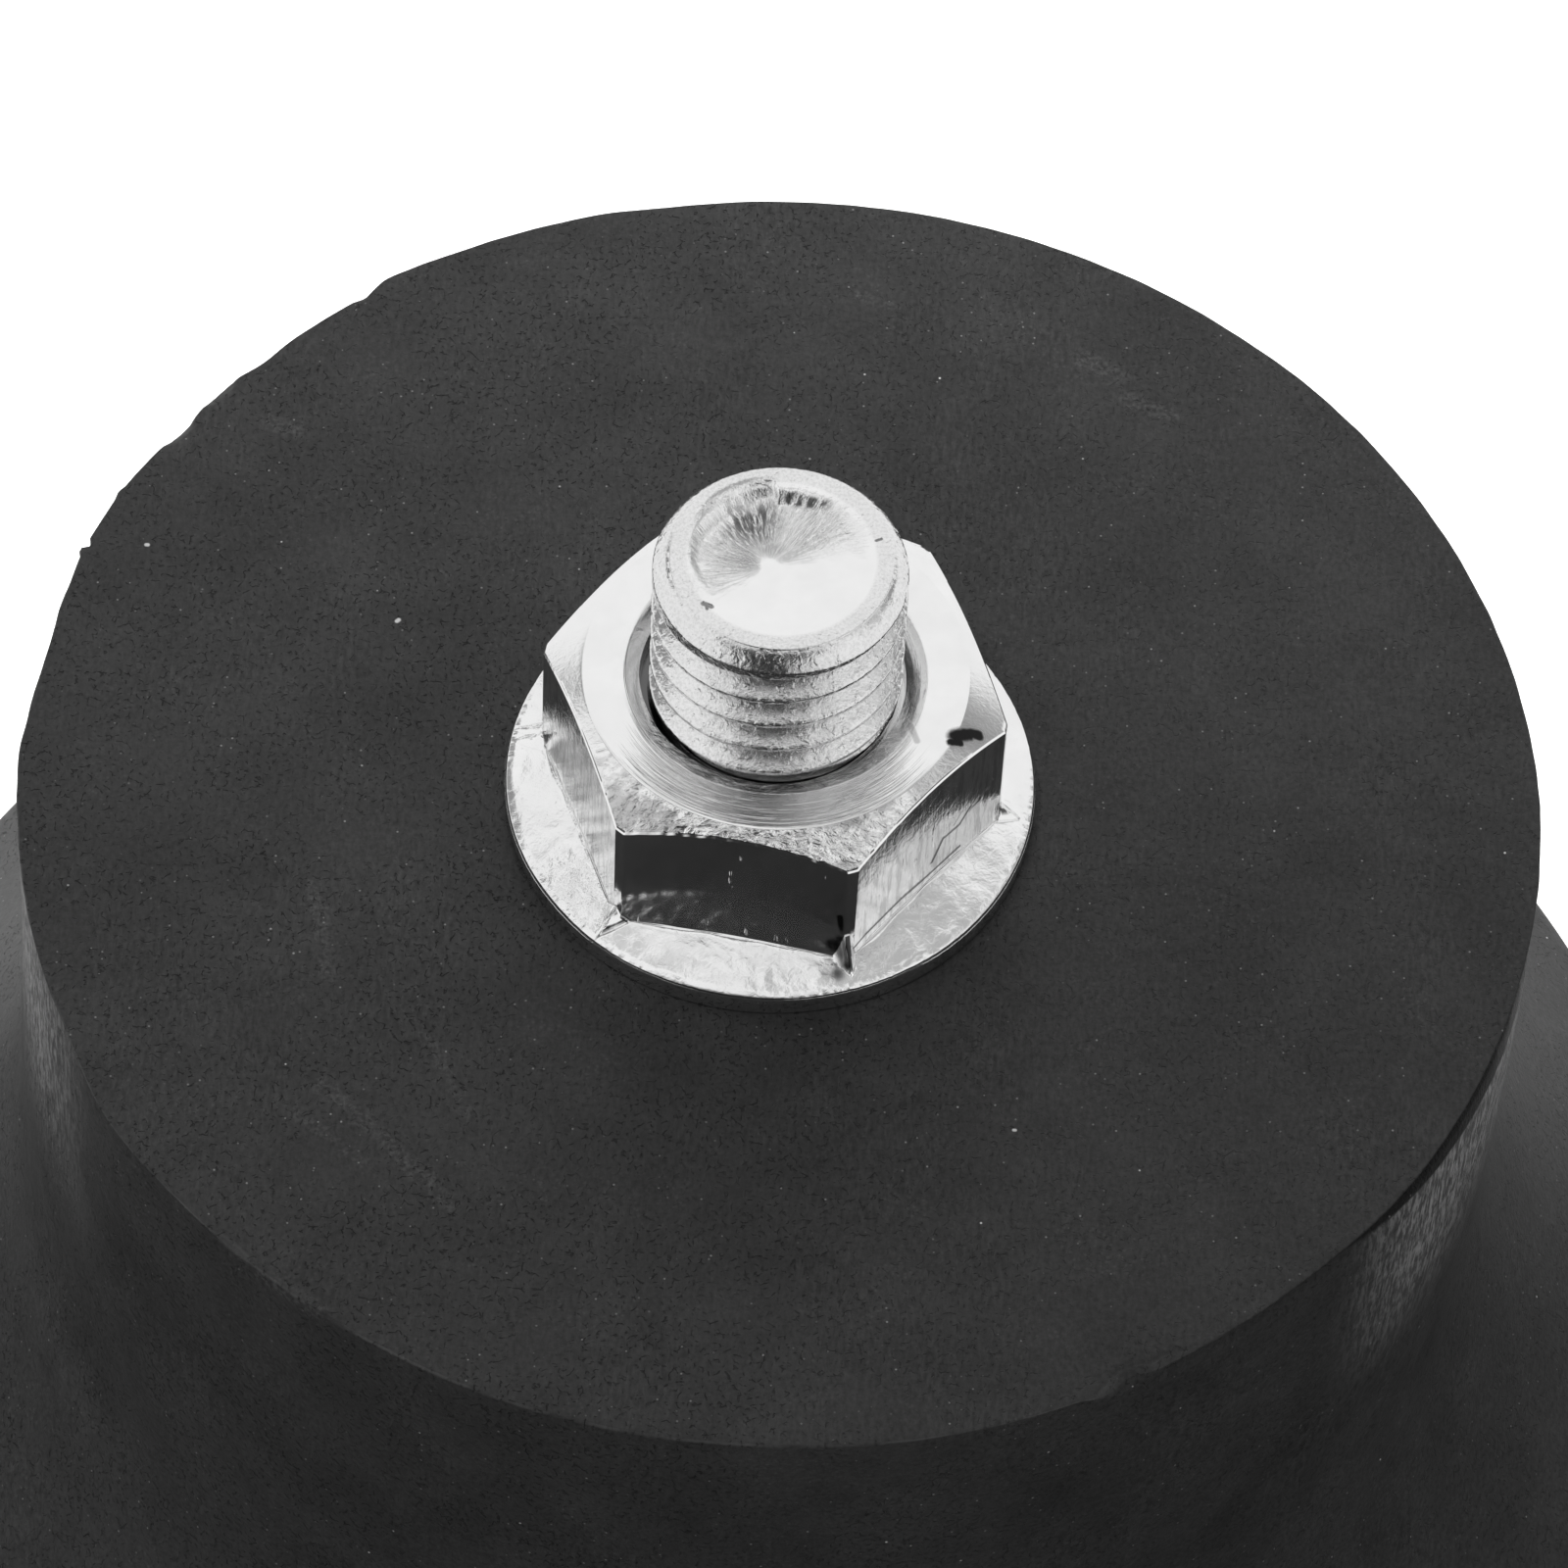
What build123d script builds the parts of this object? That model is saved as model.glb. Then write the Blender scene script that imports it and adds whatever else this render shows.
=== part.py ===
from build123d import *
import math
import os

# A bell-shaped rubber vibration mount with a bonded steel plate, a threaded stud and a
# flanged hexagon nut. The floor is Z = 0, the stud stands on the Z axis, and the side
# that faces the viewer is -Y. All sizes are in millimetres.

# Rubber body
top_diameter = 48.0  # flat seat for the machine's foot
flare_width = 8.0  # how far the base stands out past the neck
rim_height = 4.0  # straight edge of the base
flare_height = 13.2  # concave sweep between the rim and the neck
neck_length = 14.8  # straight wall under the seat
top_edge_radius = 0.3
rim_edge_radius = 1.0
foot_edge_radius = 0.5

# Steel plate bonded in the rubber
plate_cover = 2.5  # rubber over the plate
plate_side_cover = 5.0  # rubber between the plate's edge and the neck's wall
plate_thickness = 3.0
plate_edge_radius = 0.6
plate_hole_clearance = 0.05  # round the stud's shank

# Stud, M8 x 1.25
thread_diameter = 8.0
thread_pitch = 1.25
crest_allowance = 0.065  # how much the crest's radius falls short of the nominal one
stud_reach = 12.4  # from the seat to the end face
end_bevel = 0.53  # radial
end_bevel_length = 0.4
cup_edge_width = 0.64  # flat ring round the cup in the end face
cup_depth = 0.4
stud_head_overhang = 3.6  # how far the head stands out past the shank
stud_head_thickness = 2.8
stud_head_edge_radius = 0.5

# Flanged nut
across_flats = 12.8
corner_trim = 0.095  # how much the rounded corners fall short of sharp ones
flange_lip = 1.08  # how far the flange stands out past the corners
flange_edge_height = 0.84
flange_slope = 13.0  # degrees, the flange's upper side
nut_height = 6.6
nut_chamfer = 35.0  # degrees, the cone over the corners
nut_face_diameter = 12.0  # flat ring inside that cone
mouth_overhang = 1.08  # how far the countersink opens past the bore
mouth_depth = 0.8
ridge_half_width = 0.72  # where a corner runs out over the flange
ridge_height = 1.92  # at its root, over the flange's edge
ridge_end_gap = 0.2  # between its tip and the flange's edge
nut_turn = -8.3  # degrees from +X to the first corner
thread_clearance = 0.02  # radial, between the two threads
free_thread_drop = 0.1  # how far the free thread reaches down into the nut's mouth

# Levels and radii that follow from the sizes above
flare_foot = rim_height
neck_foot = flare_foot + flare_height
seat_level = neck_foot + neck_length
plate_top = seat_level - plate_cover
plate_bottom = plate_top - plate_thickness
head_bottom = plate_bottom - stud_head_thickness
nut_top = seat_level + nut_height
stud_end = seat_level + stud_reach

neck_radius = top_diameter / 2
base_radius = neck_radius + flare_width
plate_radius = neck_radius - plate_side_cover
crest_radius = thread_diameter / 2 - crest_allowance
pitch_radius = thread_diameter / 2 - 0.375 * thread_pitch * math.sqrt(3) / 2
head_radius = pitch_radius + stud_head_overhang
end_radius = crest_radius - end_bevel
cup_radius = end_radius - cup_edge_width
corner_radius = across_flats / math.sqrt(3) - corner_trim
flange_radius = corner_radius + flange_lip
bore_radius = pitch_radius + thread_clearance

# The flare is one arc that leaves the neck's wall in line with it and ends at the rim's top edge.
flare_radius = (flare_width**2 + flare_height**2) / (2 * flare_width)
flare_angle = math.asin(min(1.0, flare_height / flare_radius))


def turned(profile):
    """Revolve a closed profile in the XZ plane about the Z axis."""
    return revolve(Plane.XZ * profile, Axis.Z)


def outline(*lines):
    """Make one face from the lines of a closed half section."""
    return make_face(Curve() + list(lines))


def round_edges(solid, level, radius, size):
    """Round the circular edges at one level and radius."""
    rings = solid.edges().filter_by(GeomType.CIRCLE)
    picked = [e for e in rings if abs(e.center().Z - level) < 1e-3 and abs(e.radius - radius) < 1e-3]
    return fillet(picked, size)


def rubber_body():
    flare_middle = (
        neck_radius + flare_radius * (1 - math.cos(flare_angle / 2)),
        neck_foot - flare_radius * math.sin(flare_angle / 2),
    )
    outside = Polyline((0, 0), (base_radius, 0), (base_radius, flare_foot))
    flare = ThreePointArc((base_radius, flare_foot), flare_middle, (neck_radius, neck_foot))
    neck = Polyline((neck_radius, neck_foot), (neck_radius, seat_level), (pitch_radius, seat_level))
    pocket = Polyline(
        (pitch_radius, seat_level),
        (pitch_radius, plate_top),
        (plate_radius, plate_top),
        (plate_radius, plate_bottom),
        (head_radius, plate_bottom),
        (head_radius, head_bottom),
        (0, head_bottom),
        (0, 0),
    )
    body = turned(outline(outside, flare, neck, pocket))
    body = round_edges(body, seat_level, neck_radius, top_edge_radius)
    body = round_edges(body, flare_foot, base_radius, rim_edge_radius)
    body = round_edges(body, 0, base_radius, foot_edge_radius)
    body = round_edges(body, plate_top, plate_radius, plate_edge_radius)
    body = round_edges(body, plate_bottom, plate_radius, plate_edge_radius)
    body = round_edges(body, head_bottom, head_radius, stud_head_edge_radius)
    return body


def anchor_plate():
    hole_radius = pitch_radius + plate_hole_clearance
    section = Polyline(
        (hole_radius, plate_bottom),
        (plate_radius, plate_bottom),
        (plate_radius, plate_top),
        (hole_radius, plate_top),
        (hole_radius, plate_bottom),
    )
    plate = turned(outline(section))
    plate = round_edges(plate, plate_top, plate_radius, plate_edge_radius)
    return round_edges(plate, plate_bottom, plate_radius, plate_edge_radius)


def threaded_stud():
    # Inside the nut the two threads mesh, so both are drawn at their pitch diameter there.
    free_foot = nut_top - free_thread_drop
    cup_middle = (cup_radius / 2, stud_end - cup_level(cup_radius / 2))
    shank = Polyline(
        (0, stud_end - cup_depth),
        (0, head_bottom),
        (head_radius, head_bottom),
        (head_radius, plate_bottom),
        (pitch_radius, plate_bottom),
        (pitch_radius, free_foot - (crest_radius - pitch_radius)),
        (crest_radius, free_foot),
        (crest_radius, stud_end - end_bevel_length),
        (end_radius, stud_end),
        (cup_radius, stud_end),
    )
    cup = ThreePointArc((cup_radius, stud_end), cup_middle, (0, stud_end - cup_depth))
    stud = turned(outline(shank, cup))
    return round_edges(stud, head_bottom, head_radius, stud_head_edge_radius)


def cup_level(radius):
    """Depth below the end face of the round cup at one radius."""
    ball = (cup_radius**2 + cup_depth**2) / (2 * cup_depth)
    return math.sqrt(ball**2 - radius**2) - (ball - cup_depth)


def flange_nut():
    hexagon = RegularPolygon(across_flats / math.sqrt(3), 6)
    prism = extrude(Pos(0, 0, seat_level) * Rot(0, 0, nut_turn) * hexagon, nut_height)
    chamfer_drop = (corner_radius - nut_face_diameter / 2) * math.tan(math.radians(nut_chamfer))
    flange_rise = flange_radius * math.tan(math.radians(flange_slope))
    envelope = Polyline(
        (0, seat_level),
        (corner_radius, seat_level),
        (corner_radius, nut_top - chamfer_drop),
        (nut_face_diameter / 2, nut_top),
        (0, nut_top),
        (0, seat_level),
    )
    flange = Polyline(
        (0, seat_level),
        (flange_radius, seat_level),
        (flange_radius, seat_level + flange_edge_height),
        (0, seat_level + flange_edge_height + flange_rise),
        (0, seat_level),
    )
    bore = Polyline(
        (0, seat_level),
        (bore_radius, seat_level),
        (bore_radius, nut_top - mouth_depth),
        (bore_radius + mouth_overhang, nut_top),
        (0, nut_top),
        (0, seat_level),
    )
    nut = (prism & turned(outline(envelope))) + turned(outline(flange))
    for turn in range(6):
        nut += Rot(0, 0, nut_turn + 60 * turn) * corner_ridge()
    return nut - turned(outline(bore))


def corner_ridge():
    """The pointed ridge in which the corner on +X runs out over the flange."""
    root = corner_radius - ridge_half_width
    flange_level = seat_level + flange_edge_height
    section = Polyline(
        (root, -ridge_half_width, flange_level),
        (root, ridge_half_width, flange_level),
        (root, 0, flange_level + ridge_height),
        (root, -ridge_half_width, flange_level),
    )
    tip = Vertex(flange_radius - ridge_end_gap, 0, flange_level)
    return loft([make_face(section), tip])


os.makedirs("parts", exist_ok=True)
nodes = {
    "rubber_body": rubber_body(),
    "anchor_plate": anchor_plate(),
    "threaded_stud": threaded_stud(),
    "flange_nut": flange_nut(),
}
for name, shape in nodes.items():
    solids = shape.solids()
    export_step(solids[0] if len(solids) == 1 else Compound(children=solids), f"parts/{name}.step")
    print(f"{name}: {len(solids)} solid, {shape.volume / 1000:.2f} cm3")
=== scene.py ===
import math

import bmesh
import bpy
from mathutils import Matrix, Vector, noise


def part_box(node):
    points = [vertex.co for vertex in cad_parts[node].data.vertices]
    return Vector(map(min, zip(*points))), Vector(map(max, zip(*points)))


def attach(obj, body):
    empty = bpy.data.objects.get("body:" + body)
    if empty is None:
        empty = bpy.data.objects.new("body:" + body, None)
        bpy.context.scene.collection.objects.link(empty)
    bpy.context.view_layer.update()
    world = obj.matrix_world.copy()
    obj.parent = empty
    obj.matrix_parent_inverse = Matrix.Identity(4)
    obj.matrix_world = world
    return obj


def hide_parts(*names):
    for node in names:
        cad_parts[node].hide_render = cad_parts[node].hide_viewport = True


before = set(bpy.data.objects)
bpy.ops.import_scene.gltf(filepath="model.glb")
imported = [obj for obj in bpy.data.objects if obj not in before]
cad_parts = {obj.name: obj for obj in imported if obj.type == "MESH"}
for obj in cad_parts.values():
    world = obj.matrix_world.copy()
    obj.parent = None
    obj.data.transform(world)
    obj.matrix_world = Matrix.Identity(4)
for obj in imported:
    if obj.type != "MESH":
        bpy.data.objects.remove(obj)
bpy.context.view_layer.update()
mm = 0.001  # the scene is in metres, and the sizes below are in millimetres

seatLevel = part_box("rubber_body")[1].z / mm
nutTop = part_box("flange_nut")[1].z / mm
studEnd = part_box("threaded_stud")[1].z / mm
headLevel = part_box("threaded_stud")[0].z / mm
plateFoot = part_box("anchor_plate")[0].z / mm
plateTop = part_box("anchor_plate")[1].z / mm


# Outlines

def polar(radius, angle):
    # the two coordinates of a point at an angle in degrees
    turn = math.radians(angle)
    return radius * math.cos(turn), radius * math.sin(turn)


def arc(centre, radius, start, end, steps):
    # a round stretch of an outline, angles in degrees
    offsets = [polar(radius, start + (end - start) * i / steps) for i in range(steps + 1)]
    return [(centre[0] + across, centre[1] + up) for across, up in offsets]


def line(start, end, steps):
    shares = [i / steps for i in range(steps + 1)]
    return [(start[0] + (end[0] - start[0]) * s, start[1] + (end[1] - start[1]) * s) for s in shares]


def joined(*stretches):
    # one outline from its stretches, without the points they share
    points = []
    for stretch in stretches:
        for point in stretch:
            if not points or math.dist(points[-1], point) > 1e-5:
                points.append(point)
    return points


def ramp(value, low, high):
    # 0 below low, 1 above high and smooth between them
    t = min(1, max(0, (value - low) / (high - low)))
    return t * t * (3 - 2 * t)


def turned(angle, middle):
    # how far an angle lies from another, from -180 to 180
    return (angle - middle + 180) % 360 - 180


def between(angle, knots):
    # a value round the axis from (angle, value) knots, smooth between them
    for (startAngle, start), (endAngle, end) in zip(knots, knots[1:] + [(knots[0][0] + 360, knots[0][1])]):
        along = (angle - startAngle) % 360
        if along <= endAngle - startAngle:
            return start + (end - start) * ramp(along, 0, endAngle - startAngle)
    return knots[0][1]


def wobble(angle, height, scale, seed):
    # smooth noise round the axis, from -1 to 1
    return noise.noise(Vector((*polar(scale, angle), height + seed * 7.3)))


# Turned meshes

def spun(points, steps, doublings=4):
    # a full turn of an outline of (radius, height) points about Z: a short sector, doubled until it closes
    sector = math.tau / 2 ** doublings
    bm = bmesh.new()
    verts = [bm.verts.new((radius * mm, 0, height * mm)) for radius, height in points]
    edges = [bm.edges.new(pair) for pair in zip(verts, verts[1:])]
    bmesh.ops.spin(
        bm, geom=verts + edges, cent=(0, 0, 0), axis=(0, 0, 1), angle=sector, steps=steps // 2 ** doublings,
    )
    for i in range(doublings):
        copied = bmesh.ops.duplicate(bm, geom=bm.verts[:] + bm.edges[:] + bm.faces[:])["geom"]
        copiedVerts = [item for item in copied if isinstance(item, bmesh.types.BMVert)]
        turn = Matrix.Rotation(sector * 2 ** i, 3, "Z")
        bmesh.ops.rotate(bm, verts=copiedVerts, cent=(0, 0, 0), matrix=turn)
    bmesh.ops.remove_doubles(bm, verts=bm.verts, dist=1e-7)
    return bm


def reshape(bm, move):
    # move takes and gives a radius, an angle in degrees and a height
    for vert in bm.verts:
        radius = math.hypot(vert.co.x, vert.co.y) / mm
        angle = math.degrees(math.atan2(vert.co.y, vert.co.x))
        radius, angle, height = move(radius, angle, vert.co.z / mm)
        vert.co = Vector((*polar(radius, angle), height)) * mm


def newObject(name, data):
    made = bpy.data.objects.new(name, data)
    bpy.context.scene.collection.objects.link(made)
    return made


def meshObject(bm, name):
    mesh = bpy.data.meshes.new(name)
    bm.to_mesh(mesh)
    bm.free()
    return newObject(name, mesh), mesh


def asPiece(bm, name, replaced, sharpAngle):
    # edges whose faces meet at more than the sharp angle, in degrees, stay sharp
    bmesh.ops.recalc_face_normals(bm, faces=bm.faces)
    for face in bm.faces:
        face.smooth = True
    for edge in bm.edges:
        if len(edge.link_faces) == 2 and edge.calc_face_angle() > math.radians(sharpAngle):
            edge.smooth = False
    piece, mesh = meshObject(bm, name)
    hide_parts(replaced)
    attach(piece, "root")
    print(name, len(mesh.polygons), "faces")
    return piece


# Materials

tree = None  # the node tree being built, to which node() adds


def newMaterial(name):
    global tree
    material = bpy.data.materials.new(name)
    material.use_nodes = True
    tree = material.node_tree
    return material, tree.nodes["Principled BSDF"]


def node(kind, inputs=None, **settings):
    made = tree.nodes.new(kind)
    for key, value in settings.items():
        setattr(made, key, value)
    for key, value in (inputs or {}).items():
        if isinstance(value, bpy.types.NodeSocket):
            tree.links.new(value, made.inputs[key])
        else:
            made.inputs[key].default_value = value
    return made


def maths(operation, first, second=0.0):
    return node("ShaderNodeMath", {0: first, 1: second}, operation=operation).outputs[0]


def vectorMaths(operation, first, second=(0.0, 0.0, 0.0), output="Vector"):
    return node("ShaderNodeVectorMath", {0: first, 1: second}, operation=operation).outputs[output]


def folded(operation, values):
    total = values[0]
    for value in values[1:]:
        total = maths(operation, total, value)
    return total


def plus(*values):
    return folded("ADD", values)


def times(*values):
    return folded("MULTIPLY", values)


def most(*values):
    return folded("MAXIMUM", values)


def inverse(value):
    return maths("SUBTRACT", 1.0, value)


def straight(value, low, high, toLow=0.0, toHigh=1.0, kind="LINEAR"):
    inputs = {"Value": value, "From Min": low, "From Max": high, "To Min": toLow, "To Max": toHigh}
    return node("ShaderNodeMapRange", inputs, interpolation_type=kind).outputs["Result"]


def smooth(value, low, high, toLow=0.0, toHigh=1.0):
    return straight(value, low, high, toLow, toHigh, "SMOOTHSTEP")


def smoothMm(value, low, high, toLow=0.0, toHigh=1.0):
    # the same for a length in metres, with low and high in millimetres
    return smooth(value, low * mm, high * mm, toLow, toHigh)


def spread(value, low, high):
    # noise stretched out from low to high
    return straight(value, 0.3, 0.7, low, high)


def darkened(value, *masks):
    # each mask comes with the share that it takes away
    for mask, share in masks:
        value = times(value, inverse(times(mask, share)))
    return value


def xyz(vector):
    return node("ShaderNodeSeparateXYZ", {"Vector": vector}).outputs[:]


def dot(vector, direction):
    return vectorMaths("DOT_PRODUCT", vector, direction, "Value")


def noiseAt(place, grain, detail=3.0, rough=0.55, distortion=0.0, output="Fac"):
    # grain is the size of the noise's features in millimetres
    made = node("ShaderNodeTexNoise", {
        "Vector": place,
        "Scale": 1 / (grain * mm),
        "Detail": detail,
        "Roughness": rough,
        "Distortion": distortion,
    })
    return made.outputs[output]


def bentAt(place, finer, amount, back=0.0):
    # pushes a place about by noise with so many features in a millimetre; amount and back are in millimetres
    warp = noiseAt(place, 1 / finer, 2.0, 0.5, 0.0, "Color")
    inputs = {0: warp, 1: (amount * mm,) * 3, 2: vectorMaths("SUBTRACT", place, (back * mm,) * 3)}
    return node("ShaderNodeVectorMath", inputs, operation="MULTIPLY_ADD").outputs[0]


def cellsAt(place, grain, feature="F1"):
    inputs = {"Vector": place, "Scale": 1 / (grain * mm)}
    return node("ShaderNodeTexVoronoi", inputs, feature=feature)


def specksAt(place, grain, size, rarity, strength):
    # scattered specks: size is a share of the grain, and only luck above the rarity gives one
    cells = cellsAt(place, grain)
    luck = node("ShaderNodeSeparateColor", {"Color": cells.outputs["Color"]}).outputs["Red"]
    return times(smooth(cells.outputs["Distance"], size, size * 0.5),
                 straight(luck, rarity, 1.0, 0.0, strength))


def stretched(place, scale, turn=(0.0, 0.0, 0.0)):
    made = node("ShaderNodeMapping", {"Vector": place, "Scale": scale, "Rotation": turn})
    return made.outputs["Vector"]


def grey(value):
    made = node("ShaderNodeCombineColor", {"Red": value, "Green": value, "Blue": value})
    return made.outputs["Color"]


def bumped(normal, *layers):
    # each layer of bumps has a pattern and a depth in millimetres
    for pattern, depth in layers:
        inputs = {"Height": pattern, "Distance": depth * mm}
        if normal is not None:
            inputs["Normal"] = normal
        normal = node("ShaderNodeBump", inputs).outputs["Normal"]
    return normal


def dress(shader, level, rough, normal):
    tree.links.new(grey(level), shader.inputs["Base Color"])
    tree.links.new(rough, shader.inputs["Roughness"])
    tree.links.new(normal, shader.inputs["Normal"])


def flatRadius(place, middle=(0.0, 0.0)):
    # how far a place lies from an upright axis
    x, y, _ = xyz(place)
    flat = node("ShaderNodeCombineXYZ", {"X": x, "Y": y}).outputs["Vector"]
    return vectorMaths("DISTANCE", flat, (middle[0] * mm, middle[1] * mm, 0.0), "Value")


def markAt(place, start, end, width):
    # 1 on a short stroke between two points in millimetres, 0 off it
    first = Vector(start) * mm
    run = Vector(end) * mm - first
    out = vectorMaths("SUBTRACT", place, first)
    along = maths("DIVIDE", dot(out, run), run.length_squared)
    along = node("ShaderNodeClamp", {"Value": along}).outputs[0]
    reach = node("ShaderNodeVectorMath", {0: run, "Scale": along}, operation="SCALE").outputs[0]
    away = vectorMaths("DISTANCE", out, reach, "Value")
    return smooth(away, width * mm, width * mm * 0.4)


def marksAt(place, strokes):
    return most(*[markAt(place, *stroke) for stroke in strokes])


# Rubber body

rubber = {
    "neckRadius": 24.0,
    "flareWidth": 8.0,
    "rimHeight": 4.0,
    "flareHeight": 13.2,
    "seatShift": 0.24,  # how far the seat's middle lies to +X of the stud
    "rimEdge": 1.0,
    "footEdge": 0.5,
    "edge": 0.24,  # the seat's rounded edge, before the radii by angle scale it
    "edgeByAngle": [
        (-178, 0.06), (-140, 0.05), (-126, 0.1), (-100, 0.12), (-62, 0.05), (-40, 0.05), (-10, 0.05),
        (10, 0.08), (60, 0.07), (120, 0.07),
    ],
    # how far the trimmed rim lies outside its circle
    "strayByAngle": [
        (-180, -0.08), (-172, -0.14), (-156, -0.14), (-145, 0.13), (-136, 0.0), (-130, -0.06), (-118, -0.06),
        (-108, 0.0), (-90, 0.0), (-76, 0.07), (-66, 0.06), (-58, -0.02), (-44, -0.03), (-34, 0.1),
        (-10, 0.07), (5, 0.08), (18, 0.04), (30, 0.03), (46, 0.07), (54, 0.05), (62, 0.07), (78, 0.08),
        (92, 0.01), (101, -0.04), (106, 0.04), (116, 0.03), (124, 0.11), (126.5, -0.13), (133, -0.16),
        (136.5, -0.26), (141, -0.04), (145.5, -0.2), (150, -0.02), (154, 0.05), (160, 0.02), (164, -0.1),
        (170, -0.27), (176, -0.19),
    ],
    "strayFade": (3.2, 17.6),  # how far under the seat the stray fades, down to the moulded foot
    "strayStart": 16.0,  # the radius from which it grows
    "strayNoise": 0.02,
    "plateRadius": 19.0,
    "shankRadius": 3.594,
    "headRadius": 7.194,
    "steps": 960,
    "upperRows": 2.4,  # the height under the seat and the width inside its edge that have fine rows
    "innerRows": 1.28,
    # a groove left under the rim: its depth by angle, and where it starts and ends under the seat
    "grooveByAngle": [(-80, 0.0), (-62, 0.02), (-50, 0.16), (-36, 0.3), (-22, 0.3), (-10, 0.2), (2, 0.0)],
    "grooveTop": 0.1,
    "grooveFoot": 1.0,
    "grooveSetIn": 0.12,
    "grooveUneven": 0.3,
    "trimmed": (2.56, 1.6),  # how far down and in from the edge its cuts, lips and groove reach
    "lipFade": (0.08, 1.0),  # how far under the seat the lips fade
    "lipWidth": 0.6,
    # knife cuts in the rim: angle, half width, depth, and the cut's lean from level in degrees
    "cuts": [
        (159.2, 0.22, 0.16, 10),
        (146.3, 0.9, 0.14, 50),
        (141.2, 0.9, 0.2, 55),
        (126.6, 0.4, 0.08, 30),
        (-60.7, 1.25, 0.34, 38),
        (-57.2, 0.9, 0.2, 55),
        (-122.0, 1.5, 0.08, 30),
        (-131.0, 1.0, 0.14, 40),
    ],
    # lips left proud of the rim: angle, half width and height
    "lips": [
        (159.95, 0.16, 0.12),
        (153.7, 0.25, 0.06),
        (-62.6, 0.8, 0.14),
    ],
    # darker scratches and dents on the seat: start and end as X and Y, and half width
    "scratches": [
        ((6.75, -14.45), (7.0, -14.55), 0.09),
        ((-17.1, 13.9), (-16.75, 13.75), 0.12),
        ((-21.9, 6.3), (-21.55, 4.0), 0.05),
        ((-15.9, 12.5), (-15.2, 12.1), 0.16),
        ((-13.9, 15.6), (-13.2, 15.9), 0.2),
    ],
    # pale smears on the seat
    "smears": [
        ((9.6, 18.3), (10.8, 17.7), 0.6),
        ((11.0, 16.8), (12.6, 16.2), 0.5),
        ((2.4, 20.4), (3.4, 20.1), 0.4),
        ((-16.6, 14.0), (-15.6, 13.6), 0.5),
        ((-13.0, -11.6), (-11.0, -13.4), 0.5),
        ((-11.0, -13.4), (-8.8, -15.8), 0.5),
        ((-14.2, -12.3), (-11.6, -14.3), 0.4),
        ((-14.5, -18.7), (-12.3, -19.7), 0.4),
        ((-13.8, -4.2), (-13.1, -7.5), 0.5),
        ((-9.7, -9.9), (-8.5, -12.5), 0.4),
    ],
    # single pale crumbs
    "crumbs": [
        ((-20.35, 8.5), (-20.3, 8.5), 0.09),
        ((-12.15, 6.0), (-12.1, 6.05), 0.1),
        ((8.05, -12.15), (8.1, -12.15), 0.07),
    ],
    # grey levels of the rubber, of what lies on it and of the painted highlight and sheens, and the shares
    # that dark marks and painted shade take away
    "levels": (0.027, 0.036),
    "darkest": 0.004,
    "streakSheenLevel": 0.2,
    "flareSheenLevel": 0.05,
    "edgeHighlightLevel": 0.02,
    "smearLevel": 0.02,
    "crumbLevel": 0.35,
    "crackShare": 0.34,
    "scratchShare": 0.55,
    "grooveShadeShare": 0.6,
    "roughness": (0.5, 0.6),
    "gloss": 0.05,
}


def rubberOutline():
    r = rubber
    baseRadius = r["neckRadius"] + r["flareWidth"]
    neckFoot = r["rimHeight"] + r["flareHeight"]
    flareRadius = (r["flareWidth"] ** 2 + r["flareHeight"] ** 2) / (2 * r["flareWidth"])
    flareEnd = math.degrees(math.asin(r["flareHeight"] / flareRadius))
    # the rim's rounded edge ends where the flare has the slope it starts with
    edge = r["rimEdge"]
    back = edge * math.tan(math.radians(flareEnd / 2))
    flareDrop = r["flareHeight"] - back * math.cos(math.radians(flareEnd))
    flareStart = math.degrees(math.asin(flareDrop / flareRadius))
    corner = (r["neckRadius"] - r["edge"], seatLevel - r["edge"])
    neckLevels = (neckFoot, seatLevel - r["upperRows"], seatLevel - r["grooveFoot"], corner[1])
    inner = r["neckRadius"] - r["innerRows"]
    return joined(
        line((0, 0), (baseRadius - r["footEdge"], 0), 6),
        arc((baseRadius - r["footEdge"], r["footEdge"]), r["footEdge"], -90, 0, 4),
        line((baseRadius, r["footEdge"]), (baseRadius, r["rimHeight"] - back), 3),
        arc((baseRadius - edge, r["rimHeight"] - back), edge, 0, flareEnd, 5),
        arc((r["neckRadius"] + flareRadius, neckFoot), flareRadius, 180 + flareStart, 180, 16),
        line((r["neckRadius"], neckLevels[0]), (r["neckRadius"], neckLevels[1]), 7),
        line((r["neckRadius"], neckLevels[1]), (r["neckRadius"], neckLevels[2]), 4),
        line((r["neckRadius"], neckLevels[2]), (r["neckRadius"], neckLevels[3]), 8),
        arc(corner, r["edge"], 0, 90, 5),
        line((corner[0], seatLevel), (inner, seatLevel), 5),
        line((inner, seatLevel), (r["shankRadius"], seatLevel), 12),
        [(r["shankRadius"], plateTop), (r["plateRadius"], plateTop), (r["plateRadius"], plateFoot)],
        [(r["headRadius"], plateFoot), (r["headRadius"], headLevel), (0, headLevel)],
    )


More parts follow.
